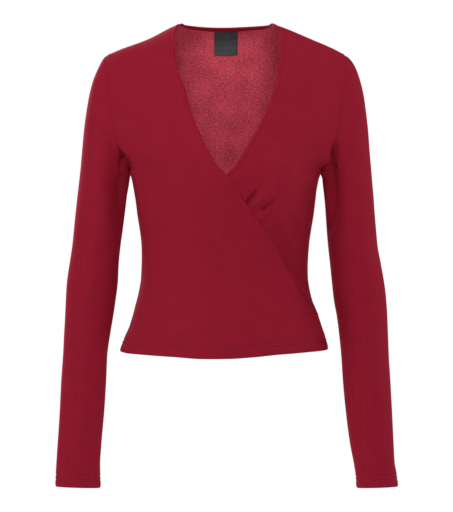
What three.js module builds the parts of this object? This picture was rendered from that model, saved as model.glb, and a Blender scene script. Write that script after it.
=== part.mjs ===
// Long-sleeved wrap top in fine jersey, filled out as it is worn, with nobody in it.
// Millimetres, +Z up, the front faces -Y and the wearer's left is +X.
// The origin lies midway between the two neck points, where the shoulders carry the top.
import * as THREE from 'three';

// Rows of numbers as objects with named columns
const table = (columns, rows) =>
  rows.map((row) => Object.fromEntries(columns.map((name, index) => [name, row[index]])));

// Cloth
const clothThickness = 1.2;
const hemTurn = 1.0;          // extra thickness of the turned hem, on the inside
const seamGap = 0.3;
const layerStep = 2.4;        // how far the under front lies inside the outer one
const tuckStart = 16;         // it starts to come out this far beyond the outer front's edge
const tuckEnd = 40;           // and is all the way out here
const bandThickness = 1.0;
const labelThickness = 0.6;

// Torso sections from the hem up to the shoulder seam, one row each.
// z: height at the side seam or armhole; rise: how much higher the section is at the centre
// half: half width there; front, back: depth from the side plane
// shift: how far the section hangs off the centre plane, towards the wearer's left
// armFront, armBack: where the section stops, in degrees from the centre (90 at a side seam)
const sections = table(
  ['z', 'rise', 'half', 'front', 'back', 'armFront', 'armBack', 'shift'],
  [
    [-474, 0, 150.4, 102, 103, 90, 90, -2.8],
    [-455.5, 0, 145.4, 99.5, 98.5, 90, 90, -1.5],
    [-454, 0, 144.9, 99.2, 98, 90, 90, -1.4],
    [-438, 0, 138.8, 96.3, 94.5, 90, 90, -0.4],
    [-424, 0, 134.4, 94, 91.3, 90, 90, -0.5],
    [-418, 0, 132.7, 93, 90, 90, 90, -0.9],
    [-411, 0, 130.3, 91.8, 88.2, 90, 90, -1.3],
    [-403, 0, 127.5, 90.5, 86, 90, 90, -2],
    [-386, 0, 123.3, 88, 82, 90, 90, -2.2],
    [-366, 0, 120.4, 86, 78.5, 90, 90, -2.1],
    [-342, 0, 119.9, 87, 77, 90, 90, -1.6],
    [-318, 0, 121, 90.5, 78, 90, 90, -1],
    [-296, 0, 123.9, 96, 80.5, 90, 90, -0.8],
    [-276, 0, 127.2, 102, 84, 90, 90, -0.8],
    [-258, 0, 129.4, 107, 87, 90, 90, -0.8],
    [-242, 0, 131.6, 110.5, 89.5, 90, 90, -1.2],
    [-227, 0, 134.3, 112.5, 91.5, 90, 90, -1.1],
    [-213, 0, 136, 113, 93, 90, 90, -1.1],
    [-208, 3, 136.3, 112.5, 94, 80, 80, -1.1],
    [-199, 7, 140, 110, 95.5, 71.5, 71.5, -1.1],
    [-187, 13, 147.5, 106, 96.5, 66, 65.5, -1.1],
    [-170, 21, 156, 99.5, 97, 62.5, 61.5, -1.1],
    [-147, 30, 162, 91, 95, 60.5, 58.5, -1.1],
    [-120, 39, 166, 82, 88, 60, 57, -1.1],
    [-92, 48, 169.5, 70, 75, 61, 57, -1.1],
    [-69, 55, 172, 54, 58, 62, 58, -1.1],
    [-54, 60, 173.4, 34, 37, 63, 60, -1.1],
    [-48.5, 62, 173.8, 19.5, 21, 63.5, 61, -1.1],
    [-46, 63, 174, 0, 0, 64, 62, -1.1],
  ],
);
const underarmRow = 17;       // the section where side seam and armhole meet
const topRow = sections.length - 1;
const hemRow = 1;             // the rows up to this one lie in the turned hem
const ridgeBack = 12;         // the shoulder seam lies this far behind the side plane
const squareness = 0.9;       // 1 is an ellipse, less is fuller at the corners
const riseRound = 0.3;        // rounding of the sections' rise at the centre
const frontHemDip = 5;        // the front hem is this much lower at the centre
const dipTop = -438;          // the hem's dip and its own line start at this height
const neckHeight = 2.7;       // top of the back neck at the centre
const napeFullness = 0.33;    // the back stands up steeper towards the neck
const napeReach = 8;          // the higher, the closer to the neck it starts to
const napeShare = 0.55;       // and it does so up to this share of the half width

// How far the shoulder seam lies above or below those sections, across the body
const shoulderLine = [
  { share: -1, lift: 1.5 },
  { share: -0.9, lift: 0.8 },
  { share: -0.65, lift: -2.8 },
  { share: -0.4, lift: 0.6 },
  { share: 0, lift: 0 },
  { share: 0.4, lift: 1.4 },
  { share: 0.65, lift: 1.8 },
  { share: 0.9, lift: 2.4 },
  { share: 1, lift: 1.6 },
];

// The same for the hem, which hangs a little higher at the wearer's left
const hemLine = [
  { share: -1, lift: 0.3 },
  { share: -0.75, lift: 1.3 },
  { share: -0.5, lift: 1 },
  { share: -0.2, lift: -0.8 },
  { share: 0.05, lift: -0.4 },
  { share: 0.3, lift: 1.6 },
  { share: 0.55, lift: 3.8 },
  { share: 0.8, lift: 4.1 },
  { share: 1, lift: 3 },
];

const frontColumns = 20;
const backColumns = 17;       // from the centre to one side
const neckColumn = 4;         // the back's column that ends at the neck point

// Free edge of each front: distance from the centre towards its own side, at each height.
// Above the crossing they are the V neck, below it the wrap, past the centre to the other side.
const wrapEdge = [
  { z: -228, across: -5 },
  { z: -254.5, across: -21.7 },
  { z: -289.6, across: -46.1 },
  { z: -319.5, across: -67.6 },
  { z: -358.4, across: -88.6 },
  { z: -392.8, across: -107.7 },
  { z: -403, across: -116.2 },
  { z: -411, across: -123.6 },
  { z: -418, across: -128.9 },
  { z: -423.9, across: -150 },
];
const outerEdge = [
  { z: 20, across: 69.5 },
  { z: -3, across: 69.8 },
  { z: -16, across: 73.4 },
  { z: -45, across: 73 },
  { z: -75.7, across: 68 },
  { z: -100.6, across: 57.9 },
  { z: -132.5, across: 49.2 },
  { z: -174.3, across: 32.1 },
  { z: -210, across: 12.5 },
  ...wrapEdge,
];
const innerEdge = [
  { z: 20, across: 69.5 },
  { z: -3, across: 69.8 },
  { z: -16, across: 76.6 },
  { z: -45, across: 77 },
  { z: -75.7, across: 73.1 },
  { z: -118, across: 62.6 },
  { z: -155.7, across: 44.8 },
  { z: -190.1, across: 25.8 },
  { z: -215, across: 9.5 },
  ...wrapEdge,
];

// Largest soft folds of the body. face -1 is the front and 1 the back; a fold runs from one
// point to another, with its half width and its depth (negative is a trough).
const folds = table(
  ['face', 'fromX', 'fromZ', 'toX', 'toZ', 'halfWidth', 'depth'],
  [
    [-1, 28, -264, 104, -226, 11, 3],
    [-1, 44, -284, 112, -250, 12, -3],
    [-1, 56, -292, 104, -372, 11, -2.5],
    [-1, 40, -300, 78, -380, 12, -2],
    [-1, 118, -208, 84, -244, 11, -2.5],
    [-1, -118, -206, -82, -246, 11, -2.5],
    [-1, -100, -352, -40, -336, 12, -1.5],
    [1, 122, -204, 84, -246, 12, -3],
    [1, -124, -206, -80, -250, 12, -3],
    [1, -96, -350, -16, -330, 13, -3],
    [1, 14, -352, 100, -336, 13, -2.5],
    [1, -60, -384, 66, -378, 12, 2],
  ],
);

// Sleeve sections, from the armhole down. inner and outer are the sleeve's two edges in the
// front view, as distances from the centre: right is the wearer's right sleeve, left the left.
// innerZ, outerZ: their heights; deep: half depth; forward: how far the section swings ahead
const sleeveRings = table(
  ['rightIn', 'rightOut', 'leftIn', 'leftOut', 'innerZ', 'outerZ', 'deep', 'forward'],
  [
    [139.2, 180.3, 137.1, 181.6, -212.2, -52, 55, 0],
    [139.6, 186.5, 138.4, 188.6, -215, -64, 54, 0],
    [139.8, 192.8, 139.4, 194, -217, -80, 53, 0],
    [139.9, 197.5, 139.8, 198.5, -219.5, -99, 52, 0],
    [140, 201.5, 140.1, 202.3, -223, -124, 51, 0],
    [140.5, 205.5, 140.3, 205.8, -228.5, -154, 49, 0],
    [141.7, 208.9, 141.1, 208, -236, -188, 47, 0],
    [143.7, 211.6, 142.4, 210.8, -247, -222, 45.5, 1],
    [146, 214.7, 144.2, 214, -265, -254, 44.5, 2],
    [149.9, 219, 146.3, 216.5, -296, -292, 43.5, 3],
    [153.4, 222.1, 148.4, 218.6, -322, -320, 42.5, 3],
    [155.9, 226, 151.2, 223.8, -348, -348, 41, 3],
    [157.2, 229.5, 153.8, 228.7, -374, -374, 40, 3],
    [160.5, 231.3, 156.7, 231.9, -400, -400, 39, 3],
    [164, 232.7, 161, 233.4, -424, -424, 37.5, 4],
    [167.8, 234, 164.1, 234, -448, -448, 36, 6],
    [172, 235, 167, 234.6, -480, -480, 34, 9],
    [173.4, 237, 169, 236.5, -516, -516, 32, 13],
    [175.8, 239, 172.9, 238.7, -560, -560, 30, 18],
    [179.5, 241.5, 178.7, 240, -606, -606, 28, 22],
    [181.3, 243.1, 184.3, 241.7, -636, -634, 27.5, 24],
    [181, 243.8, 186.4, 244.5, -650, -648, 27.5, 25],
    [181, 243.8, 186.5, 244.7, -651.5, -649.5, 27.5, 25],
    [180.7, 244.2, 188, 246.4, -669, -667, 28, 26],
  ],
);
const cuffRing = 2;           // the last two rings bound the turned cuff
const roundedRing = 9;        // from this ring on the section has lost the armhole's shape
const cuffTilt = 0.095;       // the front of a section stands up by this share of its swing ahead

const bandWidth = 6;          // back neck band
const bandColumns = 16;       // two for each of the back's columns
const bandEndInset = 0.05;    // of a column, clear of the shoulder seams
const labelWidth = 35.5;
const labelHeight = 39;
const labelSteps = 4;
const labelDrop = 6.6;        // from the top of the back neck to the label

const jerseyRed = 0x8e1b2e;
const jerseyInside = 0xa03a4a;
const labelGrey = 0x3b3a3c;

const degree = Math.PI / 180;
const searchSteps = 40;       // halvings of an interval in a search
const longestMitre = 1.5;     // walls that meet at an angle are lengthened by this at most

// Small vector helpers on [x, y, z]
const add = (a, b, scale = 1) => a.map((value, axis) => value + b[axis] * scale);
const sub = (a, b) => add(a, b, -1);
const mix = (a, b, share) => add(a, sub(b, a), share);
const length = (a) => Math.hypot(...a);
const unit = (a) => a.map((value) => value / (length(a) || 1));
const cross = (a, b) => [
  a[1] * b[2] - a[2] * b[1],
  a[2] * b[0] - a[0] * b[2],
  a[0] * b[1] - a[1] * b[0],
];
const smooth = (from, to, value) => THREE.MathUtils.smoothstep(value, from, to);
const rounded = (value) => Math.sign(value) * Math.abs(value) ** squareness;

// Value of a table at a height, with straight lines between its rows, which go downwards
function acrossAt(table, z) {
  if (z >= table[0].z) return table[0].across;
  for (let row = 1; row < table.length; row += 1) {
    const above = table[row - 1];
    const below = table[row];
    if (z >= below.z) {
      return THREE.MathUtils.mapLinear(z, above.z, below.z, above.across, below.across);
    }
  }
  return table.at(-1).across;
}

// Lift of the shoulder seam or the hem at a share across the body
function liftAt(line, share) {
  const end = line.findIndex((each) => each.share >= Math.min(share, 1));
  const [from, to] = [line[Math.max(end - 1, 0)], line[Math.max(end, 1)]];
  return THREE.MathUtils.lerp(from.lift, to.lift, smooth(from.share, to.share, share));
}

// Depth of all folds of one face at a point of the front view
function foldDepth(face, x, z) {
  let depth = 0;
  for (const fold of folds.filter((each) => each.face === face)) {
    const alongX = fold.toX - fold.fromX;
    const alongZ = fold.toZ - fold.fromZ;
    const size = Math.hypot(alongX, alongZ);
    const along = ((x - fold.fromX) * alongX + (z - fold.fromZ) * alongZ) / size;
    const aside = ((x - fold.fromX) * alongZ - (z - fold.fromZ) * alongX) / size;
    const middle = Math.sin(Math.PI * THREE.MathUtils.clamp(along / size, 0, 1));
    depth += fold.depth * middle * Math.exp(-((aside / fold.halfWidth) ** 2));
  }
  return depth;
}

// Point on the body: share 0 is the centre and 1 or -1 the side seam or armhole
function bodyPoint(face, section, share) {
  const stop = (face < 0 ? section.armFront : section.armBack) * degree;
  const reach = Math.sin(stop) * Math.abs(share) ** (1 / squareness);
  const around = Math.asin(Math.min(1, reach));
  const upper = smooth(sections[underarmRow].z, sections[topRow].z, section.z);
  const nape = 1 + napeFullness * upper ** napeReach * (1 - smooth(0, napeShare, Math.abs(share)));
  const depth = face < 0 ? section.front : section.back * nape;
  const rise = (Math.hypot(share, riseRound) - riseRound) / (Math.hypot(1, riseRound) - riseRound);
  const lower = 1 - smooth(sections[0].z, dipTop, section.z);
  const dip = face < 0 ? frontHemDip * Math.cos(around) ** 2 : 0;
  const x = section.shift * (1 - upper) + section.half * share;
  const lifted = section.z + section.rise * (1 - rise) + upper * liftAt(shoulderLine, share);
  const z = lifted + lower * (liftAt(hemLine, share) - dip);
  const bulge = depth > 0 ? depth * rounded(Math.cos(around)) + foldDepth(face, x, z) : 0;
  return [x, ridgeBack * upper + face * bulge, z];
}

// Section between two rows of the table
function sectionAt(row) {
  const low = Math.min(Math.floor(row), topRow - 1);
  const entries = Object.keys(sections[low]).map((name) => {
    const value = THREE.MathUtils.lerp(sections[low][name], sections[low + 1][name], row - low);
    return [name, value];
  });
  return Object.fromEntries(entries);
}

// Share across a section that lies at an angle from the centre
const shareAtAngle = (section, angle) =>
  rounded(Math.sin(angle)) / rounded(Math.sin(section.armFront * degree));

// Angle where a section meets the free edge of the front whose own side is given
function edgeAngle(section, ownSide, edge) {
  const stop = section.armFront * degree;
  let inside = stop;
  let outside = -stop;
  for (let step = 0; step < searchSteps; step += 1) {
    const middle = (inside + outside) / 2;
    const point = bodyPoint(-1, section, shareAtAngle(section, middle) * ownSide);
    if (point[0] * ownSide > acrossAt(edge, point[2])) inside = middle;
    else outside = middle;
  }
  return outside;
}

// One front as rows of points, from its own side to its free edge, in the direction of +X
function frontGrid(ownSide, edge) {
  return sections.map((section) => {
    const stop = section.armFront * degree;
    const end = edgeAngle(section, ownSide, edge);
    const row = [];
    for (let column = 0; column <= frontColumns; column += 1) {
      const angle = THREE.MathUtils.lerp(stop, end, column / frontColumns);
      row.push(bodyPoint(-1, section, shareAtAngle(section, angle) * ownSide));
    }
    return ownSide < 0 ? row : row.reverse();
  });
}

// Highest row that a column of the back reaches: the shoulder seam, or the back neckline
function columnTop(share, column) {
  if (Math.abs(column) >= neckColumn) return topRow;
  const neckPoint = bodyPoint(1, sections[topRow], backShare(neckColumn));
  const neckZ = THREE.MathUtils.lerp(neckHeight, neckPoint[2], (column / neckColumn) ** 2);
  let low = underarmRow;
  let high = topRow;
  for (let step = 0; step < searchSteps; step += 1) {
    const middle = (low + high) / 2;
    if (bodyPoint(1, sectionAt(middle), share)[2] < neckZ) low = middle;
    else high = middle;
  }
  return low;
}

function backShare(column) {
  return rounded(Math.sin((column / backColumns) * 90 * degree));
}

// The back as rows of points, from the wearer's left to the right
function backGrid() {
  return sections.map((section, index) => {
    const row = [];
    for (let column = backColumns; column >= -backColumns; column -= 1) {
      const share = backShare(column);
      const upper = Math.max(0, index - underarmRow) / (topRow - underarmRow);
      const stretched = underarmRow + upper * (columnTop(share, column) - underarmRow);
      const place = index > underarmRow ? sectionAt(stretched) : section;
      row.push(bodyPoint(1, place, share));
    }
    return row;
  });
}

// The armhole as a closed loop: shoulder point, down the front, underarm, up the back
function armholeLoop(side) {
  const loop = [];
  for (let row = topRow; row >= underarmRow; row -= 1) loop.push(bodyPoint(-1, sections[row], side));
  for (let row = underarmRow + 1; row < topRow; row += 1) loop.push(bodyPoint(1, sections[row], side));
  return loop;
}

// A sleeve as rings of points that turn from the armhole's plane to the arm's
function sleeveGrid(side) {
  const loop = armholeLoop(side);
  const tip = loop[0];
  const underarm = loop[topRow - underarmRow];
  const across = sub(tip, underarm);
  const shapes = loop.map((point, index) => {
    const from = sub(point, underarm);
    const share = (from[0] * across[0] + from[2] * across[2]) / (across[0] ** 2 + across[2] ** 2);
    const angle = (index / loop.length) * 360 * degree;
    const lift = from[0] - across[0] * share;
    return { share, lift, depth: point[1], angle };
  });
  const deepest = Math.max(...shapes.map((shape) => Math.abs(shape.depth)));
  const rings = sleeveRings.map((ring, number) => {
    const inner = [side * (side < 0 ? ring.rightIn : ring.leftIn), 0, ring.innerZ];
    const outer = [side * (side < 0 ? ring.rightOut : ring.leftOut), 0, ring.outerZ];
    const own = 1 - smooth(0, roundedRing, number + 1);
    return shapes.map((shape) => {
      const round = (1 + Math.cos(shape.angle)) / 2;
      const share = THREE.MathUtils.lerp(round, shape.share, own);
      const deep = THREE.MathUtils.lerp(-Math.sin(shape.angle), shape.depth / deepest, own);
      const point = mix(inner, outer, share);
      const tilt = cuffTilt * ring.forward * deep;
      return [point[0] + shape.lift * own, deep * ring.deep - ring.forward, point[2] - tilt];
    });
  });
  const grid = [loop, ...rings];
  return side < 0 ? grid.map((ring) => [ring[0], ...ring.slice(1).reverse()]) : grid;
}

// Normals, summed over all panels that share a point, so that walls meet on one mitre
const sums = new Map();
const keyOf = (point) => point.map((value) => Math.round(value * 1000)).join(' ');

function addNormals(grid, closed) {
  const columns = grid[0].length;
  for (let row = 0; row + 1 < grid.length; row += 1) {
    for (let column = 0; column < (closed ? columns : columns - 1); column += 1) {
      const next = (column + 1) % columns;
      const corners = [grid[row][column], grid[row][next], grid[row + 1][next], grid[row + 1][column]];
      const normal = unit(cross(sub(corners[2], corners[0]), sub(corners[3], corners[1])));
      for (const corner of corners) {
        const key = keyOf(corner);
        const sum = sums.get(key) ?? { normal: [0, 0, 0], count: 0 };
        sums.set(key, { normal: add(sum.normal, normal), count: sum.count + 1 });
      }
    }
  }
}

// Normal of a point, made longer where walls meet at an angle, so that the wall keeps its thickness.
// On the shoulder seam it lies in the seam's plane, so that front and back end side by side.
function normalAt(point) {
  const { normal, count } = sums.get(keyOf(point));
  const level = point[1] === ridgeBack ? [normal[0], 0, normal[2]] : normal;
  const stretch = Math.min(longestMitre, count / length(level));
  return unit(level).map((value) => value * stretch);
}

// Step of half the seam gap from an edge into its panel, square to the edge on both sides
function drawIn(point, previous, next, normal, turn) {
  const along = [previous && sub(point, previous), next && sub(next, point)].filter(Boolean);
  const squares = along.map((edge) => unit(cross(normal, edge)));
  const sum = squares.length > 1 ? add(squares[0], squares[1]) : squares[0];
  const reach = squares.length > 1 ? Math.max(length(sum) ** 2 / 2, 0.5) : 1;
  return sum.map((value) => (value / reach) * turn * (seamGap / 2));
}

// Turns a grid of points into wall points with an outer and an inner face.
// Every edge is drawn in by half the seam gap.
function wallPoints(grid, closed, thicken, tuck) {
  const lastRow = grid.length - 1;
  const lastColumn = grid[0].length - 1;
  return grid.map((row, rowIndex) => row.map((point, column) => {
    const normal = normalAt(point);
    const before = column > 0 ? row[column - 1] : closed && row[lastColumn];
    const after = column < lastColumn ? row[column + 1] : closed && row[0];
    const below = rowIndex > 0 && grid[rowIndex - 1][column];
    const above = rowIndex < lastRow && grid[rowIndex + 1][column];
    let moved = point;
    if (!below) moved = add(moved, drawIn(point, before, after, normal, 1));
    if (!above) moved = add(moved, drawIn(point, before, after, normal, -1));
    if (!before) moved = add(moved, drawIn(point, below, above, normal, -1));
    if (!after) moved = add(moved, drawIn(point, below, above, normal, 1));
    moved = add(moved, normal, -tuck(point, rowIndex));
    const inside = clothThickness / 2 + (thicken(rowIndex) ? hemTurn : 0);
    return { outer: add(moved, normal, clothThickness / 2), inner: add(moved, normal, -inside) };
  }));
}

// Closed wall between the outer and inner points of a grid
function wallMesh(name, walls, closed, colour, roughness) {
  const rows = walls.length;
  const columns = walls[0].length;
  const positions = [];
  for (const side of ['outer', 'inner']) {
    for (const row of walls) for (const point of row) positions.push(...point[side]);
  }
  const at = (inner, row, column) => inner * rows * columns + row * columns + (column % columns);
  const indices = [];
  const quad = (a, b, c, d, turned = false) => {
    if (turned) indices.push(b, c, d, b, d, a);
    else indices.push(a, b, c, a, c, d);
  };
  // Each face is split along the diagonal that lies further out, so that the cloth bulges
  const turnedAt = (row, column, next) => {
    const [a, b] = [walls[row][column], walls[row][next]];
    const [c, d] = [walls[row + 1][next], walls[row + 1][column]];
    const out = sub(add(a.outer, c.outer), add(a.inner, c.inner));
    const split = sub(add(a.outer, c.outer), add(b.outer, d.outer));
    return out[0] * split[0] + out[1] * split[1] + out[2] * split[2] < 0;
  };
  const spans = closed ? columns : columns - 1;
  for (let column = 0; column < spans; column += 1) {
    const next = column + 1;
    for (let row = 0; row + 1 < rows; row += 1) {
      const turned = turnedAt(row, column, next % columns);
      quad(at(0, row, column), at(0, row, next), at(0, row + 1, next), at(0, row + 1, column), turned);
      quad(at(1, row, next), at(1, row, column), at(1, row + 1, column), at(1, row + 1, next), !turned);
    }
    quad(at(0, 0, column), at(1, 0, column), at(1, 0, next), at(0, 0, next));
    const top = rows - 1;
    quad(at(0, top, column), at(0, top, next), at(1, top, next), at(1, top, column));
  }
  if (!closed) {
    const end = columns - 1;
    for (let row = 0; row + 1 < rows; row += 1) {
      quad(at(0, row, 0), at(0, row + 1, 0), at(1, row + 1, 0), at(1, row, 0));
      quad(at(0, row, end), at(1, row, end), at(1, row + 1, end), at(0, row + 1, end));
    }
  }
  const geometry = new THREE.BufferGeometry();
  geometry.setAttribute('position', new THREE.Float32BufferAttribute(positions, 3));
  geometry.setIndex(indices);
  geometry.computeVertexNormals();
  const material = new THREE.MeshStandardMaterial({ color: colour, roughness, metalness: 0 });
  const mesh = new THREE.Mesh(geometry, material);
  mesh.name = name;
  return mesh;
}

// How far the under front lies inside, so that the outer front has room over it
function tuckUnder(point, rowIndex) {
  const clear = point[0] + acrossAt(outerEdge, point[2]);
  const covered = 1 - smooth(tuckStart, tuckEnd, clear);
  return covered * (layerStep + (rowIndex <= hemRow ? hemTurn : 0));
}

// Point inside the back, a distance down one of its columns from the neckline
function insideBack(walls, column, drop) {
  const left = Math.floor(column);
  const share = column - left;
  const down = (index) => {
    let rest = drop;
    for (let row = topRow; row > 0; row -= 1) {
      const from = walls[row][index];
      const to = walls[row - 1][index];
      const step = length(sub(to.inner, from.inner));
      if (rest <= step) {
        const inner = mix(from.inner, to.inner, rest / step);
        return { inner, normal: unit(sub(mix(from.outer, to.outer, rest / step), inner)) };
      }
      rest -= step;
    }
    return null;
  };
  const first = down(left);
  const second = down(Math.min(left + 1, 2 * backColumns));
  return {
    point: mix(first.inner, second.inner, share),
    normal: unit(mix(first.normal, second.normal, share)),
  };
}

// Flat piece that lies on the inside of the back, made from the back's own points
function insidePiece(name, walls, columnList, drops, thickness, colour, roughness) {
  const grid = drops.map((drop) => columnList.map((column) => {
    const { point, normal } = insideBack(walls, column, drop);
    const outer = add(point, normal, -seamGap);
    return { outer, inner: add(outer, normal, -thickness) };
  }));
  return wallMesh(name, grid, false, colour, roughness);
}

const steps = (from, to, count) =>
  Array.from({ length: count + 1 }, (_, index) => THREE.MathUtils.lerp(from, to, index / count));

const back = backGrid();
const rightFront = frontGrid(-1, outerEdge);
const leftFront = frontGrid(1, innerEdge);
const rightSleeve = sleeveGrid(-1);
const leftSleeve = sleeveGrid(1);
for (const panel of [back, rightFront, leftFront]) addNormals(panel, false);
for (const sleeve of [rightSleeve, leftSleeve]) addNormals(sleeve, true);

const flush = () => 0;
const bodyHem = (row) => row <= hemRow;
const cuff = (row) => row >= rightSleeve.length - cuffRing;
const backWalls = wallPoints(back, false, bodyHem, flush);
const rightFrontWalls = wallPoints(rightFront, false, bodyHem, flush);
const leftFrontWalls = wallPoints(leftFront, false, bodyHem, tuckUnder);
const rightSleeveWalls = wallPoints(rightSleeve, true, cuff, flush);
const leftSleeveWalls = wallPoints(leftSleeve, true, cuff, flush);

const wrapTop = new THREE.Group();
wrapTop.name = 'wrap_top';
wrapTop.add(wallMesh('back', backWalls, false, jerseyInside, 0.9));
wrapTop.add(wallMesh('right_front', rightFrontWalls, false, jerseyRed, 0.9));
wrapTop.add(wallMesh('left_front', leftFrontWalls, false, jerseyRed, 0.9));
wrapTop.add(wallMesh('right_sleeve', rightSleeveWalls, true, jerseyRed, 0.9));
wrapTop.add(wallMesh('left_sleeve', leftSleeveWalls, true, jerseyRed, 0.9));

// Columns of the back count from the wearer's left, so its centre is column backColumns
const neckStart = backColumns - neckColumn;
const neckEnd = backColumns + neckColumn;
const bandAcross = steps(neckStart, neckEnd, bandColumns);
bandAcross[0] += bandEndInset;
bandAcross[bandColumns] -= bandEndInset;
const bandDown = steps(bandWidth, seamGap, 1);
const band = insidePiece('back_neck_band', backWalls, bandAcross, bandDown, bandThickness, jerseyRed, 0.9);
wrapTop.add(band);

const columnWidth = length(sub(back[topRow][backColumns], back[topRow][backColumns + 1]));
const labelReach = labelWidth / 2 / columnWidth;
const labelAcross = steps(backColumns - labelReach, backColumns + labelReach, labelSteps);
const labelDown = steps(labelDrop + labelHeight, labelDrop, labelSteps);
wrapTop.add(insidePiece('label', backWalls, labelAcross, labelDown, labelThickness, labelGrey, 0.6));

export default wrapTop;
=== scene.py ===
import math
import bpy
import numpy as np
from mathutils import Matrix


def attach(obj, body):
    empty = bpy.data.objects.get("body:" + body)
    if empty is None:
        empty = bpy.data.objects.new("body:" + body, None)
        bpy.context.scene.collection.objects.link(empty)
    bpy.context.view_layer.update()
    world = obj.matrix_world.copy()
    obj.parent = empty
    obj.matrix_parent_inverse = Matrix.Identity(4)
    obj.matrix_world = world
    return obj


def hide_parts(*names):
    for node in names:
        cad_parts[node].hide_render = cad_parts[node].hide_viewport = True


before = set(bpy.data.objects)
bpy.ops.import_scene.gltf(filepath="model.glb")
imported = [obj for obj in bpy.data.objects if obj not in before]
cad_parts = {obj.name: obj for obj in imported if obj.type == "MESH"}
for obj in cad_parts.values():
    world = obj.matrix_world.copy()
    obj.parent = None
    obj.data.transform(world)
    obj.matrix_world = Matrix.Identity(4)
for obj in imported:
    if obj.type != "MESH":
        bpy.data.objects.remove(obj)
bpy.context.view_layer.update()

# The top is worked out in millimetres and turned to metres as each mesh is made.
# +Z is up, the front faces -Y and the wearer's left is +X.
mm = 0.001
searchSteps = 36             # halvings when a place on the surface is looked for


def smooth(low, high, value):
    share = np.clip((value - low) / (high - low), 0.0, 1.0)
    return share * share * (3 - 2 * share)


def blend(first, second, share):
    return first + (second - first) * share


def unit(vectors):
    return vectors / np.maximum(np.linalg.norm(vectors, axis=-1, keepdims=True), 1e-9)


def rounded(value, power):
    return np.sign(value) * np.abs(value) ** power


def columnsOf(names, rows):
    return dict(zip(names, np.array(rows, float).T))


def curveThrough(knots, values, at):
    # a smooth curve through the rows of a table that never swings past them
    step = np.diff(knots)
    slope = np.diff(values) / step
    same = slope[:-1] * slope[1:] > 0
    before = np.where(same, slope[:-1], 1.0)
    after = np.where(same, slope[1:], 1.0)
    first, second = 2 * step[1:] + step[:-1], step[1:] + 2 * step[:-1]
    middle = np.where(same, (first + second) / (first / before + second / after), 0.0)
    tangent = np.concatenate([slope[:1], middle, slope[-1:]])
    index = np.clip(np.searchsorted(knots, at, side="right") - 1, 0, len(step) - 1)
    t = np.clip((at - knots[index]) / step[index], 0.0, 1.0)
    rise = values[index + 1] - values[index]
    start, end = tangent[index] * step[index], tangent[index + 1] * step[index]
    return values[index] + t * (start + t * (3 * rise - 2 * start - end + t * (start + end - 2 * rise)))


def distanceAlong(points, axis):
    steps = np.linalg.norm(np.diff(points, axis=axis), axis=-1)
    total = np.cumsum(steps, axis=axis)
    return np.insert(total, 0, 0.0, axis=axis)


def pointsAt(places, known, points):
    # points on a line that runs through the known places
    return np.stack([np.interp(places, known, points[:, axis]) for axis in range(3)], axis=-1)


def spaced(length, step, fineStretches):
    # places from 0 to length, a step apart, closer together in the stretches given
    places = list(np.linspace(0, length, int(round(length / step)) + 1))
    for start, end, fineStep in fineStretches:
        places = [place for place in places if not start - fineStep / 2 < place < end + fineStep / 2]
        places += list(np.linspace(start, end, int(round((end - start) / fineStep)) + 1))
    return np.array(sorted(set([0.0, float(length)] + [float(place) for place in places])))


# Body of the top: sections from the hem up to the shoulder seam
body = {
    "squareness": 0.9,      # 1 is an ellipse, less is fuller at the corners
    "riseRound": 0.3,       # how softly a section turns over at the centre
    "frontHemDip": 5,       # the hem hangs this much lower at the front's centre
    "dipTop": -438,         # height where that dip begins
    "ridgeBack": 12,        # shoulder seam behind the side plane
    "neckTop": 2.7,         # height of the back neckline at the centre
    "neckAngle": 21.18,     # degrees from the back's centre to a neck point
    "napeFullness": 0.33,   # the back stands out below the neck by this share of its depth
    "napeReach": 8,         # how fast that fades down the back
    "napeShare": 0.55,      # and how far out from the centre
}
# The shoulder seam's own line: how far it lies above or below the sections, across the body
shoulderLine = columnsOf(("share", "lift"), [
    (-1, 1.5), (-0.9, 0.8), (-0.65, -2.8), (-0.4, 0.6), (0, 0),
    (0.4, 1.4), (0.65, 1.8), (0.9, 2.4), (1, 1.6),
])
# The same for the hem, which hangs a little higher at the wearer's left
hemLine = columnsOf(("share", "lift"), [
    (-1, 0.3), (-0.75, 1.3), (-0.5, 1), (-0.2, -0.8), (0.05, -0.4),
    (0.3, 1.6), (0.55, 3.8), (0.8, 4.1), (1, 3),
])
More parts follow.
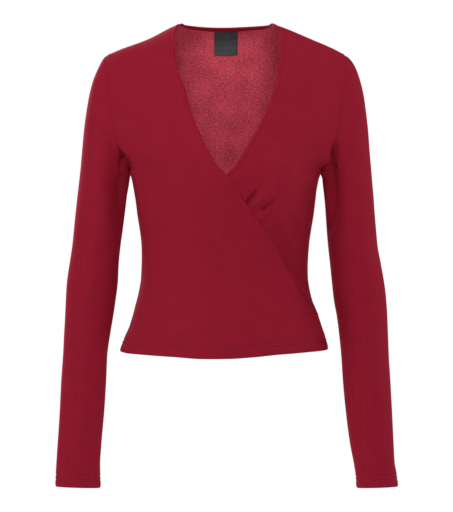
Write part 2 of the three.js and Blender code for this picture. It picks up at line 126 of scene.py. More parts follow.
# z at the side, rise at the centre, half width, depths, where a section stops in degrees, and how
# far it hangs off the centre
bodySections = columnsOf(
    ("z", "rise", "half", "front", "back", "armFront", "armBack", "shift"),
    [
        (-474, 0, 150.4, 102, 103, 90, 90, -2.8),
        (-455.5, 0, 145.4, 99.5, 98.5, 90, 90, -1.5),
        (-438, 0, 138.8, 96.3, 94.5, 90, 90, -0.4),
        (-424, 0, 134.4, 94, 91.3, 90, 90, -0.5),
        (-411, 0, 130.3, 91.8, 88.2, 90, 90, -1.3),
        (-403, 0, 127.5, 90.5, 86, 90, 90, -2),
        (-386, 0, 123.3, 88, 82, 90, 90, -2.2),
        (-366, 0, 120.4, 86, 78.5, 90, 90, -2.1),
        (-342, 0, 119.9, 87, 77, 90, 90, -1.6),
        (-318, 0, 121, 90.5, 78, 90, 90, -1),
        (-296, 0, 123.9, 96, 80.5, 90, 90, -0.8),
        (-276, 0, 127.2, 102, 84, 90, 90, -0.8),
        (-258, 0, 129.4, 107, 87, 90, 90, -0.8),
        (-242, 0, 131.6, 110.5, 89.5, 90, 90, -1.2),
        (-227, 0, 134.3, 112.5, 91.5, 90, 90, -1.1),
        (-213, 0, 136, 113, 93, 90, 90, -1.1),
        (-208, 3, 136.3, 112.5, 94, 80, 80, -1.1),
        (-199, 7, 140, 110, 95.5, 71.5, 71.5, -1.1),
        (-187, 13, 147.5, 106, 96.5, 66, 65.5, -1.1),
        (-170, 21, 156, 99.5, 97, 62.5, 61.5, -1.1),
        (-147, 30, 162, 91, 95, 60.5, 58.5, -1.1),
        (-120, 39, 166, 82, 88, 60, 57, -1.1),
        (-92, 48, 169.5, 70, 75, 61, 57, -1.1),
        (-69, 55, 172, 54, 58, 62, 58, -1.1),
        (-54, 60, 173.4, 34, 37, 63, 60, -1.1),
        (-48.5, 62, 173.8, 19.5, 21, 63.5, 61, -1.1),
        (-46, 63, 174, 0, 0, 64, 62, -1.1),
    ],
)
underarm = 15                # row where side seam and armhole meet
topRow = len(bodySections["z"]) - 1


def sectionRuns():
    # distance along the side seam and then the armhole, at each row
    depth = bodySections["front"] * np.cos(np.radians(bodySections["armFront"])) ** body["squareness"]
    path = np.stack([bodySections["half"], depth, bodySections["z"]], axis=-1)
    return distanceAlong(path, 0)


bodyRuns = sectionRuns()
underarmRun, shoulderRun = bodyRuns[underarm], bodyRuns[topRow]


def sectionAt(run):
    place = {name: curveThrough(bodyRuns, column, run) for name, column in bodySections.items()}
    upperRuns, upperRun = bodyRuns[underarm:], np.maximum(run, underarmRun)
    for name in ("armFront", "armBack"):
        upper = curveThrough(upperRuns, bodySections[name][underarm:], upperRun)
        place[name] = np.where(run > underarmRun, upper, 90.0)
    return place


def bodySurface(face, run, share):
    # face -1 is the front and 1 the back; share runs from side to side
    place = sectionAt(run)
    stop = np.radians(place["armFront"] if face < 0 else place["armBack"])
    reach = np.sin(stop) * np.abs(share) ** (1 / body["squareness"])
    around = np.arcsin(np.minimum(1.0, reach))
    upper = smooth(bodySections["z"][underarm], bodySections["z"][topRow], place["z"])
    central = 1 - smooth(0, body["napeShare"], np.abs(share))
    nape = 1 + body["napeFullness"] * upper ** body["napeReach"] * central
    depth = place["front"] if face < 0 else place["back"] * nape
    roundness = body["riseRound"]
    rise = (np.hypot(share, roundness) - roundness) / (math.hypot(1, roundness) - roundness)
    lower = smooth(body["dipTop"], bodySections["z"][0], place["z"])
    dip = body["frontHemDip"] * np.cos(around) ** 2 if face < 0 else 0.0
    x = place["shift"] * (1 - upper) + place["half"] * share
    y = body["ridgeBack"] * upper + face * depth * np.cos(around) ** body["squareness"]
    z = place["z"] + place["rise"] * (1 - rise)
    z = z + upper * curveThrough(shoulderLine["share"], shoulderLine["lift"], share)
    z = z + lower * (curveThrough(hemLine["share"], hemLine["lift"], share) - dip)
    return np.stack(np.broadcast_arrays(x, y, z), axis=-1)


# Free edges of the fronts: distance from the centre towards their own side at each height.
# First the V neck, then the wrap, past the centre to the other side.
wrapEdge = [
    (-228, -5), (-254.5, -21.7), (-289.6, -46.1), (-319.5, -67.6), (-358.4, -88.6),
    (-392.8, -107.7), (-403, -116.2), (-411, -123.6), (-418, -130.5), (-423.9, -150),
]
overEdge = columnsOf(("z", "across"), [
    (20, 69.5), (-3, 69.8), (-16, 73.4), (-45, 73), (-75.7, 68), (-100.6, 57.9),
    (-132.5, 49.2), (-174.3, 32.1), (-210, 12.5), *wrapEdge,
])
underEdge = columnsOf(("z", "across"), [
    (20, 69.5), (-3, 69.8), (-16, 76.6), (-45, 77), (-75.7, 73.1), (-118, 62.6),
    (-155.7, 44.8), (-190.1, 25.8), (-215, 9.5), *wrapEdge,
])


def acrossAt(edge, z):
    return curveThrough(-edge["z"], edge["across"], -z)


def shareAtAngle(stop, angle):
    power = body["squareness"]
    return rounded(np.sin(angle), power) / rounded(np.sin(stop), power)


# Spacing of the cloth meshes, closer where a hem, seam or edge needs it
weave = {
    "step": 2.6,
    "sleeveStep": 2.7,
    "leastStep": 0.3,
    "hemLength": 19.0,      # the hem's rows are hemStep apart
    "hemStep": 0.75,
    "seamFine": [0.0, 0.5, 1.1, 1.8, 2.7, 3.8, 5.2],
    "frontColumns": 116,
    "frontWidth": 240.0,    # rough widths, for the columns beside the seams
    "backColumns": 150,
    "backWidth": 400.0,
}


def thinned(places):
    # places nearer to the one before than the least step are left out
    return places[np.insert(np.diff(places) > weave["leastStep"], 0, True)]


bodyRows = spaced(shoulderRun, weave["step"], [(0.0, weave["hemLength"], weave["hemStep"])])
bodyRows = np.array(sorted({*bodyRows, underarmRun, *(shoulderRun - np.array(weave["seamFine"]))}))
bodyRows = thinned(bodyRows)
bodyRows[np.argmin(np.abs(bodyRows - underarmRun))] = underarmRun
bodyRows[-1] = shoulderRun


def crowded(count, panelWidth):
    # shares from 0 to 1 that lie closer together at both ends
    near = np.array(weave["seamFine"]) / panelWidth
    inner = np.linspace(near[-1], 1 - near[-1], count)
    return np.concatenate([near[:-1], inner, 1 - near[:-1][::-1]])


# Columns of the back, in degrees from its centre
backAngles = 90 - 180 * crowded(weave["backColumns"], weave["backWidth"])


def frontGrid(ownSide, edge):
    # each row runs from the own side seam to the free edge, which is found by halving
    run = bodyRows[:, None]
    stop = np.radians(sectionAt(run)["armFront"])
    inside, outside = stop.copy(), -stop
    for step in range(searchSteps):
        middle = (inside + outside) / 2
        point = bodySurface(-1, run, shareAtAngle(stop, middle) * ownSide)
        beyond = point[..., 0] * ownSide > acrossAt(edge, point[..., 2])
        inside, outside = np.where(beyond, middle, inside), np.where(beyond, outside, middle)
    columns = crowded(weave["frontColumns"], weave["frontWidth"])[None, :]
    grid = bodySurface(-1, run, shareAtAngle(stop, blend(stop, outside, columns)) * ownSide)
    return grid if ownSide < 0 else grid[:, ::-1]


def backGrid():
    # columns beside the neck end at the shoulder seam, those between at the back neckline
    angle = np.radians(backAngles)[None, :]
    share = rounded(np.sin(angle), body["squareness"])
    neckAngle = math.radians(body["neckAngle"])
    neckPoint = bodySurface(1, np.array(shoulderRun), np.array(math.sin(neckAngle) ** body["squareness"]))
    neckZ = blend(body["neckTop"], neckPoint[2], (angle / neckAngle) ** 2)
    low, high = np.full_like(share, underarmRun), np.full_like(share, shoulderRun)
    for step in range(searchSteps):
        middle = (low + high) / 2
        under = bodySurface(1, middle, share)[..., 2] < neckZ
        low, high = np.where(under, middle, low), np.where(under, high, middle)
    top = np.where(np.abs(angle) >= neckAngle, shoulderRun, low)
    run = bodyRows[:, None]
    upper = np.clip((run - underarmRun) / (shoulderRun - underarmRun), 0, 1)
    run = np.where(run > underarmRun, underarmRun + upper * (top - underarmRun), run)
    return bodySurface(1, run, share)


# Sleeves: sections from the armhole down, as distances from the centre and heights of the two
# edges in the front view, half depth, and how far the section swings ahead
sleeve = {
    "roundedRing": 9,       # from this ring on the section has lost the armhole's shape
    "cuffTilt": 0.095,      # the front of a section stands up by this share of its swing ahead
}
sleeveRings = columnsOf(
    ("rightIn", "rightOut", "leftIn", "leftOut", "innerZ", "outerZ", "deep", "forward"),
    [
        (139.2, 180.3, 137.1, 181.6, -212.2, -52, 55, 0),
        (139.6, 186.5, 138.4, 188.6, -215, -64, 54, 0),
        (139.8, 192.8, 139.4, 194, -217, -80, 53, 0),
        (139.9, 197.5, 139.8, 198.5, -219.5, -99, 52, 0),
        (140, 201.5, 140.1, 202.3, -223, -124, 51, 0),
        (140.5, 205.5, 140.3, 205.8, -228.5, -154, 49, 0),
        (141.7, 208.9, 141.1, 208, -236, -188, 47, 0),
        (143.7, 211.6, 142.4, 210.8, -247, -222, 45.5, 1),
        (146, 214.7, 144.2, 214, -265, -254, 44.5, 2),
        (149.9, 219, 146.3, 216.5, -296, -292, 43.5, 3),
        (153.4, 222.1, 148.4, 218.6, -322, -320, 42.5, 3),
        (155.9, 226, 151.2, 223.8, -348, -348, 41, 3),
        (157.2, 229.5, 153.8, 228.7, -374, -374, 40, 3),
        (160.5, 231.3, 156.7, 231.9, -400, -400, 39, 3),
        (164, 232.7, 161, 233.4, -424, -424, 37.5, 4),
        (167.8, 234, 164.1, 234, -448, -448, 36, 6),
        (172, 235, 167, 234.6, -480, -480, 34, 9),
        (173.4, 237, 169, 236.5, -516, -516, 32, 13),
        (175.8, 239, 172.9, 238.7, -560, -560, 30, 18),
        (179.5, 241.5, 178.7, 240, -606, -606, 28, 22),
        (181.3, 243.1, 184.3, 241.7, -636, -634, 27.5, 24),
        (181, 243.8, 186.4, 244.5, -650, -648, 27.5, 25),
        (180.7, 244.2, 188, 246.4, -669, -667, 28, 26),
    ],
)


def sleeveGrid(side):
    # rows from the cuff up, columns round from the underarm seam
    upper = bodyRows[bodyRows >= underarmRun]
    rowNumber = curveThrough(bodyRuns, np.arange(topRow + 1.0), upper) - underarm
    half = topRow - underarm
    frontArm = bodySurface(-1, upper, np.full_like(upper, side))
    backArm = bodySurface(1, upper, np.full_like(upper, side))
    frontTurn = 180 * (1 - rowNumber / half)
    backTurn = 180 + 180 * rowNumber / half
    loop = np.concatenate([frontArm, backArm[-2::-1]])
    turn = np.radians(np.concatenate([frontTurn, backTurn[-2::-1]]))
    bottom, tip = frontArm[0], frontArm[-1]
    across = tip - bottom
    offset = loop - bottom
    share = (offset[:, 0] * across[0] + offset[:, 2] * across[2]) / (across[0] ** 2 + across[2] ** 2)
    liftX = offset[:, 0] - across[0] * share
    liftZ = offset[:, 2] - across[2] * share
    depth = loop[:, 1]
    deepest = np.abs(depth).max()

    inName, outName = ("rightIn", "rightOut") if side < 0 else ("leftIn", "leftOut")
    first = {inName: abs(bottom[0]), outName: abs(tip[0]), "innerZ": bottom[2], "outerZ": tip[2],
             "deep": deepest, "forward": 0.0}
    rings = {name: np.insert(sleeveRings[name], 0, value) for name, value in first.items()}
    edges = np.stack([rings[inName], rings["innerZ"], rings[outName], rings["outerZ"]], axis=-1)
    ringRuns = distanceAlong(edges, 0) / math.sqrt(2)
    length = ringRuns[-1]
    hemFine = (length - weave["hemLength"], length, weave["hemStep"])
    runs = spaced(length, weave["sleeveStep"], [hemFine])
    runs = thinned(np.array(sorted({*runs, *weave["seamFine"]})))[::-1]
    ring = {name: curveThrough(ringRuns, column, runs)[:, None] for name, column in rings.items()}
    ringNumber = curveThrough(ringRuns, np.arange(len(ringRuns)) * 1.0, runs)
    own = 1 - smooth(0, sleeve["roundedRing"], ringNumber)[:, None]
    shareHere = blend((1 + np.cos(turn)) / 2, share, own)
    deepHere = blend(-np.sin(turn), depth / deepest, own)
    x = side * blend(ring[inName], ring[outName], shareHere) + liftX * own
    y = deepHere * ring["deep"] - ring["forward"]
    z = blend(ring["innerZ"], ring["outerZ"], shareHere) + liftZ * own
    z = z - sleeve["cuffTilt"] * ring["forward"] * deepHere
    grid = np.stack([x, y, z], axis=-1)
    return grid if side > 0 else grid[:, ::-1]


# Creases and soft folds, in mm in the front view (face -1) or from behind (1).
# halfWidth and depth as they stand in the cloth; bow bends the crease sideways.
creaseNames = ("face", "fromX", "fromZ", "toX", "toZ", "halfWidth", "depth", "bow")
creaseTurn = (-0.1, 0.4)     # a crease fades out as the cloth turns away from its face
bodyCreases = [
    (-1, 118, -208, 84, -244, 11, -2.5, 3),
    (-1, -118, -206, -82, -246, 11, -2.5, -3),
    (-1, -100, -352, -40, -336, 12, -1.5, 2),
    (-1, -134, -262, -92, -236, 9, 1.4, -2),
    (-1, -58, -176, -96, -214, 16, 1.5, 3),
    (-1, -128, -398, -84, -414, 10, -1.2, 2),
    (-1, -30, -452, 26, -446, 7, -0.8, 0),
]
overCreases = [
    (-1, 54, -313, 82, -381, 9, -2.6, 3),
    (-1, 36, -300, 58, -352, 12, 1.6, 4),
    (-1, 20, -330, 66, -402, 13, -1.2, 4),
    (-1, 86, -357, 94, -375, 2.6, 1.4, 0),
    (-1, 14, -240, -34, -226, 10, 1.2, 2),
]
underCreases = [
    (-1, 28, -264, 104, -226, 11, 3, 2),
    (-1, 44, -284, 112, -250, 12, -3, 2),
    (-1, 58, -284, 116, -380, 13, -10, -2),
    (-1, 24, -270, 45, -241, 2.4, -8.5, 1),
    (-1, 34, -266, 66, -243, 4.6, 4.4, 1.5),
    (-1, 46, -275, 70, -254, 3.2, -6, 1.5),
    (-1, 46, -288, 74, -264, 5, 2.6, 1),
    (-1, 68, -176, 90, -252, 26, 8, 0),
    (-1, 42, -298, 64, -281, 3.6, -3.4, 0),
    (-1, 90, -278, 110, -318, 8.5, -7, 0),
    (-1, 110, -232, 121, -286, 8, -4, 0),
    (-1, 103, -337, 111, -357, 1.8, 2.8, 0),
    (-1, 94, -367, 119, -411, 2.4, -6, 1),
    (-1, 100, -365, 120, -400, 2.4, 2.6, 1),
]
backCreases = [
    (1, 122, -204, 78, -250, 9, -4.5, 3),
    (1, -124, -206, -74, -254, 9, -4.5, -3),
    (1, -100, -350, -12, -328, 9, -4.5, 4),
    (1, 14, -352, 104, -334, 9, -4, -4),
    (1, -60, -384, 66, -376, 10, 3, 3),
    (1, -78, -318, 20, -304, 9, -3.2, 5),
    (1, 24, -322, 96, -298, 9, 3, 4),
    (1, -112, -392, -48, -406, 8, -2.6, 3),
    (1, 60, -412, 118, -396, 8, -2.4, -2),
    (1, -30, -120, 38, -128, 14, -2.4, 4),
    (1, 70, -96, 116, -150, 11, 2.6, 3),
    (1, -72, -100, -118, -156, 11, 2.6, -3),
]
rightSleeveCreases = [
    (-1, -196, -394, -166, -414, 9, -2.4, 2),
    (-1, -206, -360, -172, -392, 9, 1.2, 2),
    (-1, -212, -432, -178, -446, 8, -1.4, -2),
    (-1, -150, -232, -188, -262, 9, -1.6, 3),
    (-1, -152, -158, -150, -312, 17, -8, 0),
    (-1, -226, -560, -196, -588, 9, -1.0, 2),
    (1, -226, -386, -168, -398, 8, -3, 3),
    (1, -222, -410, -166, -418, 8, 2.2, 2),
    (1, -226, -434, -176, -432, 9, -2.6, -3),
    (1, -152, -226, -196, -250, 10, -2.2, 3),
    (1, -234, -540, -186, -556, 9, -1.4, 2),
]
leftSleeveCreases = [
    (-1, 160, -388, 204, -410, 10, -1.8, 3),
    (-1, 166, -424, 206, -440, 9, -1.3, -2),
    (-1, 146, -236, 186, -266, 9, -1.4, -3),
    (-1, 151, -165, 150, -320, 16, -6, 0),
    (-1, 188, -610, 226, -596, 9, -0.9, 2),
    (1, 164, -392, 224, -384, 8, -2.8, 3),
    (1, 168, -416, 222, -406, 8, 2.0, -2),
    (1, 172, -436, 226, -430, 9, -2.4, 2),
    (1, 148, -230, 192, -256, 10, -2.0, -3),
    (1, 186, -572, 232, -560, 9, -1.2, 2),
]

# Tucks in the sleeves right beside the armhole, where the cloth folds in under the arm
rightSleeveTucks = [
    (-1, -155, -168, -141, -222, 4.2, -15, -1),
    (-1, -141, -196, -144, -270, 5.0, -11, 0),
]
leftSleeveTucks = [
    (-1, 157, -166, 144, -240, 4.4, -16, 1),
    (-1, 143, -196, 146, -306, 7.5, -12, 0),
]
# Seams are pulled a little out of their even line under each arm and at each neck point: centre,
# radius, pull
seamPulls = [
    ((-142, -42, -199), 11, (4.5, 0, -1)),
    ((141, -42, -200), 13, (9, -3, -3)),
    ((-67, 12, 1), 9, (4, 0, 0.6)),
    ((71, 12, 1), 10, (-4.5, 0, 0.8)),
]
# Just below the seam under each arm, sleeve and side lie together: x and z, reach, share
sidePinches = [((-138.2, -216.5), (8, 6), 0.95), ((136.9, -216), (8, 6), 0.95)]


def pulledIn(points):
    for (x, z), (acrossReach, downReach), share in sidePinches:
        off = points[..., 0] - x
        near = np.exp(-((off / acrossReach) ** 2 + ((points[..., 2] - z) / downReach) ** 2))
        points = points - (share * near * off)[..., None] * np.array([1.0, 0.0, 0.0])
    for centre, radius, pull in seamPulls:
        near = np.exp(-((points - np.array(centre)) ** 2).sum(axis=-1) / radius ** 2)
        points = points + near[..., None] * np.array(pull)
    return points


def creaseHeight(rows, points, normals):
    height = np.zeros(points.shape[:2])
    x, z = points[..., 0], points[..., 2]
    for row in rows:
        crease = dict(zip(creaseNames, row))
        alongX, alongZ = crease["toX"] - crease["fromX"], crease["toZ"] - crease["fromZ"]
        size = math.hypot(alongX, alongZ)
        fromX, fromZ = x - crease["fromX"], z - crease["fromZ"]
        share = np.clip((fromX * alongX + fromZ * alongZ) / size ** 2, 0, 1)
        middle = np.sin(math.pi * share)
        aside = (fromX * alongZ - fromZ * alongX) / size - crease["bow"] * middle
        facing = smooth(*creaseTurn, crease["face"] * normals[..., 1])
        height += crease["depth"] * middle * np.exp(-(aside / crease["halfWidth"]) ** 2) * facing
    return height


# Slow uneven waves that keep a filled-out panel from looking moulded: height in mm, and over how
# many mm of x, y and z each wave turns by one radian
drift = {
    "height": 0.45,
    "broad": {"x": 31, "z": 47, "crossX": 58, "crossZ": 38},
    "small": {"x": 17, "y": 29, "z": 23, "crossZ": 61, "share": 0.6},
}


def driftHeight(points, seed):
    x, y, z = (points[..., axis] for axis in range(3))
    broad, small = drift["broad"], drift["small"]
    wave = np.sin(x / broad["x"] + z / broad["z"] + seed)
    wave = wave * np.sin(z / broad["crossZ"] - x / broad["crossX"] + 2 * seed)
    ripple = small["share"] * np.sin(x / small["x"] - z / small["z"] + y / small["y"] + 3 * seed)
    return drift["height"] * (wave + ripple * np.sin(z / small["crossZ"] + seed))


def gridNormals(points):
    return unit(np.cross(np.gradient(points, axis=1), np.gradient(points, axis=0)))


# How the cloth is finished at its borders, in mm. A ridge is its distance from the border, its half
# width and its height, which is negative for a groove.
finish = {
    "cloth": 0.8,
    "calmReach": 14,        # creases and waves fade out this close to a seam or hem
    "tuckReach": 4,         # and tucks this close to a seam
    "turnReach": 3.0,       # panels that meet turn in along one direction over this length
    "faceReach": 1.5,
    "gap": 0.15,            # half the gap at a seam
    "seamDepth": 1.0,       # groove over a seam
    "seamWidth": 1.7,
    "seamPower": 1.5,
    "seamPuff": (4.2, 2.0, 0.22),
    "allowance": (0, 0.9, 2.6),          # turned-in cloth behind a seam
    "hemPuff": (5.5, 4.0, 0.5),
    "hemRoll": (0, 1.0, -0.9),
    "stitchRows": (11.0, 16.0),
    "stitchGroove": (0.9, 0.55),         # half width and depth under each row of stitches
    "stitchRidge": (13.5, 1.4, 0.35),    # between the two rows
    "hemEdge": (16.6, 17.4),             # the turned-up hem ends between these heights
    "edgePuff": (2.4, 2.0, 0.9),
    "edgeRoll": (0, 0.8, -1.0),
    "edgeGroove": (5.5, 1.6, -0.4),
    "edgeBand": (4.5, 6.5),              # and the turned edge of the V neck and the wrap
}


def ridge(distance, form):
    place, halfWidth, height = form
    return height * np.exp(-((distance - place) / halfWidth) ** 2)


def seamKey(point):
    # the same for one place on a seam in each panel that meets there
    return tuple(np.round(point, 2))


def borderIndex(grid):
    rows, columns = grid.shape[:2]
    for row in range(rows):
        yield row, 0
        yield row, columns - 1
    for column in range(1, columns - 1):
        yield 0, column
        yield rows - 1, column


def shareSeamNormals(panels):
    # panels that meet at a seam turn in along one common direction
    sums = {}
    for panel in panels:
        for place in borderIndex(panel["grid"]):
            key = seamKey(panel["grid"][place])
            sums[key] = sums.get(key, 0) + panel["normals"][place]
    for panel in panels:
        shared = panel["normals"].copy()
        for place in borderIndex(panel["grid"]):
            shared[place] = sums[seamKey(panel["grid"][place])]
        shared = unit(shared)
        lengths = panel["lengths"]
        turned = panel["normals"]
        pulls = {
            "start": (shared[:, :1], lengths["start"]), "end": (shared[:, -1:], lengths["end"]),
            "top": (shared[-1:], lengths["top"]), "bottom": (shared[:1], lengths["bottom"]),
        }
        for side in panel["seams"]:
            edgeNormals, distance = pulls[side]
            turned = blend(turned, edgeNormals, np.exp(-distance / finish["turnReach"])[..., None])
        panel["turned"] = unit(turned)


def borderLengths(grid):
    across, up = distanceAlong(grid, 1), distanceAlong(grid, 0)
    return {"start": across, "end": across[:, -1:] - across, "bottom": up, "top": up[-1:] - up}


def squareTo(grid, side, distance):
    # distance along a row turned into distance square to a slanting free edge
    edge = grid[:, 0] if side == "start" else grid[:, -1]
    beside = grid[:, 1] if side == "start" else grid[:, -2]
    along, inward = unit(np.gradient(edge, axis=0)), unit(beside - edge)
    factor = np.linalg.norm(np.cross(along, inward), axis=-1)
    return distance * factor[:, None]


def toSeam(panel):
    return np.minimum.reduce([panel["lengths"][side] for side in panel["seams"]])


def clothHeight(panel):
    # creases, waves and tucks, calm towards the seams and the hem
    grid, lengths, normals = panel["grid"], panel["lengths"], panel["normals"]
    height = creaseHeight(panel["creases"], grid, normals) + driftHeight(grid, panel["seed"])
    for side in panel["seams"] + ["bottom"]:
        height = height * smooth(0, finish["calmReach"], lengths[side])
    tucks = creaseHeight(panel.get("tucks", []), grid, normals)
    return height + tucks * smooth(0, finish["tuckReach"], toSeam(panel))


def finishPanel(panel):
    # height moves the cloth's middle out or in; inside is how thick it is behind that middle
    grid, lengths = panel["grid"], panel["lengths"]
    height = clothHeight(panel)
    inside = np.full(grid.shape[:2], finish["cloth"] / 2)
    for side in panel["seams"]:
        distance = lengths[side]
        groove = np.exp(-(distance / finish["seamWidth"]) ** finish["seamPower"])
        height = height - finish["seamDepth"] * groove + ridge(distance, finish["seamPuff"])
        inside = inside + ridge(distance, finish["allowance"])
    hem = lengths["bottom"]
    for name in ("hemPuff", "hemRoll", "stitchRidge"):
        height = height + ridge(hem, finish[name])
    grooveWidth, grooveDepth = finish["stitchGroove"]
    for row in finish["stitchRows"]:
        height = height + ridge(hem, (row, grooveWidth, -grooveDepth))
    inside = inside + finish["cloth"] * (1 - smooth(*finish["hemEdge"], hem))
    if panel.get("freeEdge"):
        distance = squareTo(grid, panel["freeEdge"], lengths[panel["freeEdge"]])
        free = panel["freeRows"][:, None]
        for name in ("edgePuff", "edgeRoll", "edgeGroove"):
            height = height + free * ridge(distance, finish[name])
        inside = inside + free * finish["cloth"] * (1 - smooth(*finish["edgeBand"], distance))
    if "sink" in panel:
        height = height - panel["sink"]
    middle = grid + panel["turned"] * height[..., None]
    for side, edge, beside in (("start", 0, 1), ("end", -1, -2)):
        if side in panel["seams"]:
            middle[:, edge] += unit(middle[:, beside] - middle[:, edge]) * finish["gap"]
    near = np.exp(-toSeam(panel) / finish["faceReach"])
    facing = unit(blend(gridNormals(middle), panel["turned"], near[..., None]))
    panel["outer"] = middle + facing * finish["cloth"] / 2
    panel["inner"] = middle - facing * inside[..., None]
    panel["facing"] = facing


def meshObject(name, points, faces, materials, materialIndex=None, uv=None, smoothFaces=True):
    mesh = bpy.data.meshes.new(name)
    mesh.from_pydata((np.asarray(points, float) * mm).tolist(), [], faces)
    for material in materials:
        mesh.materials.append(material)
    if materialIndex is not None:
        mesh.polygons.foreach_set("material_index", materialIndex)
    if uv is not None:
        layer = mesh.uv_layers.new(name="cloth")
        corners = np.empty(len(mesh.loops), dtype=np.int32)
        mesh.loops.foreach_get("vertex_index", corners)
        layer.data.foreach_set("uv", uv[corners].astype(np.float32).ravel())
    mesh.polygons.foreach_set("use_smooth", [smoothFaces] * len(mesh.polygons))
    mesh.update()
    made = bpy.data.objects.new(name, mesh)
    bpy.context.collection.objects.link(made)
    return made


def shellObject(name, outer, inner, uv, materials):
    # closed thin shell; outer faces take the first material and inner faces the second
    rows, columns = outer.shape[:2]
    number = np.arange(rows * columns).reshape(rows, columns)
    a, b = number[:-1, :-1].ravel(), number[:-1, 1:].ravel()
    c, d = number[1:, 1:].ravel(), number[1:, :-1].ravel()
    outerFaces = np.stack([a, b, c, d], axis=-1)
    innerFaces = outerFaces[:, ::-1] + rows * columns
    loop = np.concatenate([number[0, :], number[1:, -1], number[-1, -2::-1], number[-2:0:-1, 0]])
    following = np.roll(loop, -1)
    rim = np.stack([following, loop, loop + rows * columns, following + rows * columns], axis=-1)
    faces = np.concatenate([outerFaces, innerFaces, rim]).tolist()
    index = [0] * len(outerFaces) + [1] * len(innerFaces) + [0] * len(rim)
    points = np.concatenate([outer.reshape(-1, 3), inner.reshape(-1, 3)])
    both = np.concatenate([uv.reshape(-1, 2), uv.reshape(-1, 2)])
    return meshObject(name, points, faces, materials, index, both)


# Sewing thread of the twin-needle rows, as small raised stitches
stitch = {
    "length": 2.5,
    "pitch": 3.1,
    "radius": 0.34,
    "tip": 0.2,             # share of the radius that is left at an end
    "lift": 0.12,           # how high its middle lies on the cloth
    "dive": 0.125,          # how much lower its ends lie
    "ahead": 0.5,           # a stitch points to the place this far on
    "sides": 5,
    "stations": (-0.5, -0.3, 0.0, 0.3, 0.5),
    "endColumns": 4,        # columns of the panel at each end that have none
}


def stitchPieces(path, normals):
    travelled = distanceAlong(path, 0)
    count = int(travelled[-1] // stitch["pitch"])
    start = (travelled[-1] - (count - 1) * stitch["pitch"]) / 2
    places = start + np.arange(count) * stitch["pitch"]
    points = pointsAt(places, travelled, path)
    ahead = pointsAt(places + stitch["ahead"], travelled, path)
    up = unit(pointsAt(places, travelled, normals))
    along = unit(ahead - points)
    aside = np.cross(up, along)
    sides = stitch["sides"]
    vertices, faces = [], []
    for index in range(count):
        first = len(vertices)
        for station in stitch["stations"]:
            fullness = stitch["radius"] * max(stitch["tip"], math.sqrt(1 - (2 * station) ** 2))
            lift = stitch["lift"] - stitch["dive"] * (2 * station) ** 2
            centre = points[index] + along[index] * station * stitch["length"] + up[index] * lift
            for side in range(sides):
                turn = 2 * math.pi * side / sides
                outward = aside[index] * math.cos(turn) + up[index] * math.sin(turn)
                vertices.append(centre + fullness * outward)
        for ring in range(len(stitch["stations"]) - 1):
            for side in range(sides):
                here, there = first + ring * sides, first + (ring + 1) * sides
                following = (side + 1) % sides
                faces.append((here + following, here + side, there + side, there + following))
        faces.append(tuple(first + side for side in range(sides)))
        last = first + (len(stitch["stations"]) - 1) * sides
        faces.append(tuple(last + side for side in reversed(range(sides))))
    return vertices, faces


def hemStitches(name, panel, material):
    vertices, faces = [], []
    hem = panel["lengths"]["bottom"]
    stretch = slice(stitch["endColumns"], -stitch["endColumns"])
    for distance in finish["stitchRows"]:
        row = int(np.argmin(np.abs(hem[:, hem.shape[1] // 2] - distance)))
        path, normals = panel["outer"][row, stretch], panel["facing"][row, stretch]
        more, moreFaces = stitchPieces(path, normals)
        faces += [tuple(corner + len(vertices) for corner in face) for face in moreFaces]
        vertices += more
    made = meshObject(name, vertices, faces, [material])
    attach(made, "root")
    return made


def hexColour(code):
    values = [int(code[place:place + 2], 16) / 255 for place in (1, 3, 5)]
    linear = [value / 12.92 if value <= 0.04045 else ((value + 0.055) / 1.055) ** 2.4 for value in values]
    return (*linear, 1.0)


def newMaterial(name, settings):
    material = bpy.data.materials.new(name)
    material.use_nodes = True
    shader = material.node_tree.nodes["Principled BSDF"]
    for socket, value in settings.items():
        shader.inputs[socket].default_value = value
    return material, shader


def addNode(owner, kind, settings=None, links=None):
    # owner is a material or the world
    node = owner.node_tree.nodes.new(kind)
    for name, value in (settings or {}).items():
        if isinstance(name, str) and hasattr(node, name):
            setattr(node, name, value)
        else:
            node.inputs[name].default_value = value
    for name, source in (links or {}).items():
        plug(owner, source, node.inputs[name])
    return node


def plug(owner, source, target):
    owner.node_tree.links.new(source, target)


def bandScale(spacing):
    # at scale 1 the bands of a wave texture lie pi / 10 m apart
    return math.pi / (10 * spacing * mm)


# Cotton jersey, right side: matt, even and deep red, with a fine grain and faint stripes up the
# panel where its wales lie a little higher
jerseyRight = {
    "colour": "#9a182f",
    "shade": "#8f152b",
    "stripeSpacing": 10.68,  # mm; single wales of 0.7 mm are too fine to show
    "grain": 1.5,            # mm; real stitches are 0.7 mm, drawn coarser so that they show
    "mottle": 26.0,          # mm, slow change of tone
}


